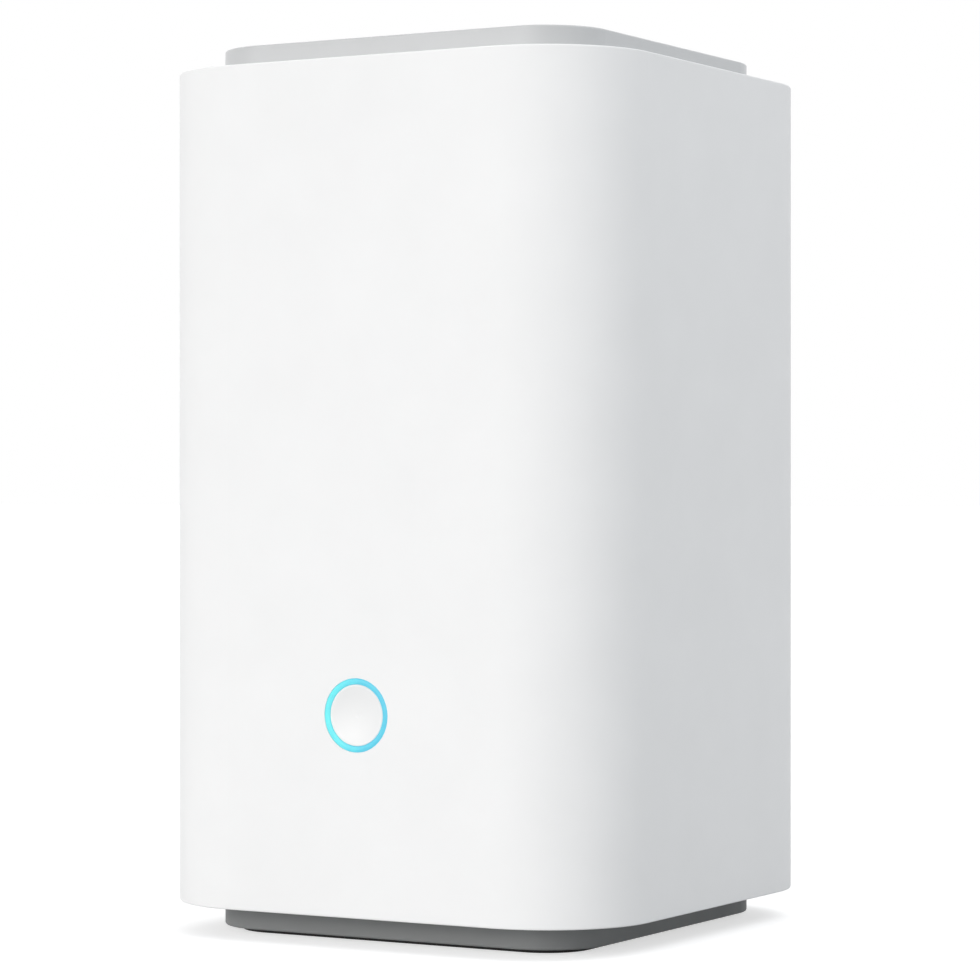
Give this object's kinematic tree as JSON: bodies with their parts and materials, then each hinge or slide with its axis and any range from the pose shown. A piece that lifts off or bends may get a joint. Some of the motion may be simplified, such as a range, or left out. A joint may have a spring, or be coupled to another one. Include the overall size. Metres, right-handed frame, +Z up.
{
  "type": "security camera base station",
  "caption": "Free-standing square tower with round corners, a set-in cap and plinth, a lit ring with a dished push button low in front, and network, power and card sockets behind.",
  "frame": {"origin": "on the standing surface, under the middle of the tower", "axes": "+Z up; -Y is the front with the button; +X is right as seen from the front"},
  "size_m": [0.096, 0.096, 0.164],
  "materials": {
    "shell_white": "fine satin moulding",
    "cap_grey": "satin",
    "plinth_dark": "satin",
    "foot_rubber": "matt",
    "light_guide": "lit, milky",
    "button_white": "smooth",
    "panel_black": "fine texture",
    "socket_black": "smooth",
    "sheet_steel": "tinned",
    "contact_metal": "plated",
    "lamp_clear": "clear, milky",
    "circuit_board": "solder mask",
    "chip_black": "moulded",
    "sink_aluminium": "extruded",
    "screw_steel": "zinc plated",
    "card_black": "moulded",
    "frame_grey": "moulded",
    "connector_white": "moulded",
    "pin_nylon": "moulded",
    "pad_soft": "soft",
    "foam_black": "closed-cell foam",
    "cone_black": "coated paper",
    "magnet_black": "painted ferrite",
    "coil_copper": "enamelled winding",
    "aerial_film": "copper on film",
    "lead_black": "flexible",
    "lead_grey": "flexible",
    "capacitor_can": "drawn can",
    "lamp_white": "moulded"
  },
  "bodies": {
    "base": {"outer_sleeve": "shell_white", "top_cap": "cap_grey", "base_plinth": "plinth_dark", "rubber_foot": "foot_rubber", "rear_io_panel": "panel_black", "lan_jack": "socket_black", "lan_jack_shield": "sheet_steel", "lan_contacts": "contact_metal", "lan_lamps": "lamp_clear", "usb_port": "sheet_steel", "usb_tongue": "connector_white", "dc_jack": "socket_black", "dc_jack_pin": "contact_metal", "microsd_sockets": "sheet_steel", "reset_switch": "socket_black", "light_ring": "light_guide", "button_switch": "socket_black", "button_board": "circuit_board", "ring_leds": "lamp_white", "button_board_screws": "screw_steel", "ribbon_sockets": "connector_white", "button_ribbon": "lead_grey", "inner_frame": "frame_grey", "frame_screws": "screw_steel", "sleeve_screws": "screw_steel", "main_board": "circuit_board", "board_screws": "screw_steel", "main_chip": "chip_black", "thermal_pad": "pad_soft", "heat_sink": "sink_aluminium", "heat_sink_pins": "pin_nylon", "memory_chips": "chip_black", "radio_shield": "sheet_steel", "lan_transformer": "chip_black", "capacitors": "capacitor_can", "aerial_plugs": "contact_metal", "speaker_plug": "connector_white", "speaker_grille": "panel_black", "speaker_basket": "screw_steel", "speaker_cone": "cone_black", "voice_coil": "coil_copper", "speaker_magnet": "magnet_black", "speaker_gasket": "foam_black", "speaker_screws": "screw_steel", "wifi_aerials": "aerial_film", "hub_aerial": "aerial_film", "aerial_leads": "lead_black", "speaker_lead": "lead_black"},
    "button": {"front_button": "button_white", "switch_plunger": "connector_white"},
    "reset_button": {"reset_plunger": "connector_white"},
    "card_a": {"microsd_card_a": "card_black"},
    "card_b": {"microsd_card_b": "card_black"}
  },
  "joints": [
    {"name": "button_press", "type": "slide", "parent": "base", "child": "button", "axis": [0, 1, 0], "range_m": [0, 0.0006], "stiffness_N_per_m": 2000},
    {"name": "reset_press", "type": "slide", "parent": "base", "child": "reset_button", "axis": [0, -1, 0], "range_m": [0, 0.00025], "stiffness_N_per_m": 1000},
    {"name": "card_a_slide", "type": "slide", "parent": "base", "child": "card_a", "axis": [0, 1, 0], "range_m": [-0.0006, 0.0135]},
    {"name": "card_b_slide", "type": "slide", "parent": "base", "child": "card_b", "axis": [0, 1, 0], "range_m": [-0.0006, 0.0135]}
  ]
}
